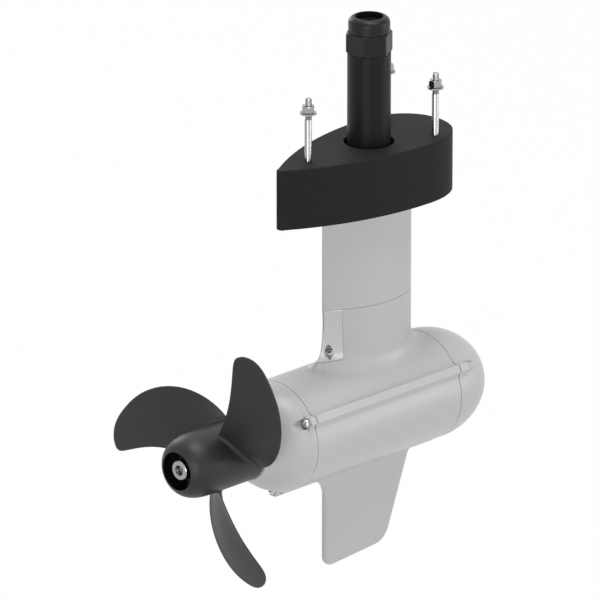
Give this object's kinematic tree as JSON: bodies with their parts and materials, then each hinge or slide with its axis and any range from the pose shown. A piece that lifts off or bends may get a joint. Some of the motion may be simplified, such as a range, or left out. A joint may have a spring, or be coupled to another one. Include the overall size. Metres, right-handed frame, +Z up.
{
  "type": "electric pod drive",
  "caption": "Electric pod drive for a boat: black hull block and cable tube, foil column, finned torpedo pod, and a swept propeller on a hollow hub that turns freely.",
  "frame": {"origin": "on the hull tube's axis, in the plane of the hull block's top face, which bears against the hull", "axes": "+X forward from the propeller to the domed nose, +Y to port, +Z up along the hull tube"},
  "size_m": [0.455, 0.246, 0.6267],
  "materials": {
    "black_block": "satin",
    "black_tube": "black anodised",
    "black_nylon": "satin",
    "black_rubber": "matt",
    "stainless": "polished",
    "grey_casting": "satin paint over cast aluminium",
    "anode_metal": "bare",
    "propeller_grey": "satin",
    "laminations": "varnished",
    "copper": "varnished copper",
    "steel": "ground",
    "magnet": "nickel plated",
    "board_green": "solder mask",
    "black_case": "matt"
  },
  "bodies": {
    "housing": {"mount_block": "black_block", "hull_tube": "black_tube", "gland_body": "black_nylon", "gland_cap_nut": "black_nylon", "gland_seal": "black_rubber", "hull_studs": "stainless", "stud_washers": "stainless", "stud_nuts": "stainless", "column": "grey_casting", "column_bolts": "stainless", "column_seal": "black_rubber", "pod_barrel": "grey_casting", "column_anode": "anode_metal", "anode_screw": "stainless", "nose_cap": "grey_casting", "nose_ring": "black_rubber", "nose_screws": "stainless", "tail_cap": "grey_casting", "tail_ring": "black_rubber", "tail_screws": "stainless", "stator_core": "laminations", "stator_windings": "copper", "front_bulkhead": "anode_metal", "bulkhead_circlip": "steel", "front_bearing": "steel", "rear_bearing": "steel", "shaft_seals": "black_rubber", "seal_circlip": "stainless", "board_posts": "stainless", "board_screws": "stainless", "control_board": "board_green", "power_switches": "black_case", "capacitors": "black_case"},
    "rotor": {"drive_shaft": "stainless", "rotor_core": "steel", "rotor_magnets": "magnet", "thrust_washer": "stainless", "drive_pin": "stainless", "propeller": "propeller_grey", "propeller_washer": "stainless", "propeller_nut": "stainless", "shaft_anode": "anode_metal", "shaft_anode_screw": "stainless"}
  },
  "joints": [
    {"name": "propeller_spin", "type": "hinge", "parent": "housing", "child": "rotor", "pos_m": [-0.2, 0, -0.3074], "axis": [1, 0, 0], "continuous": true}
  ]
}
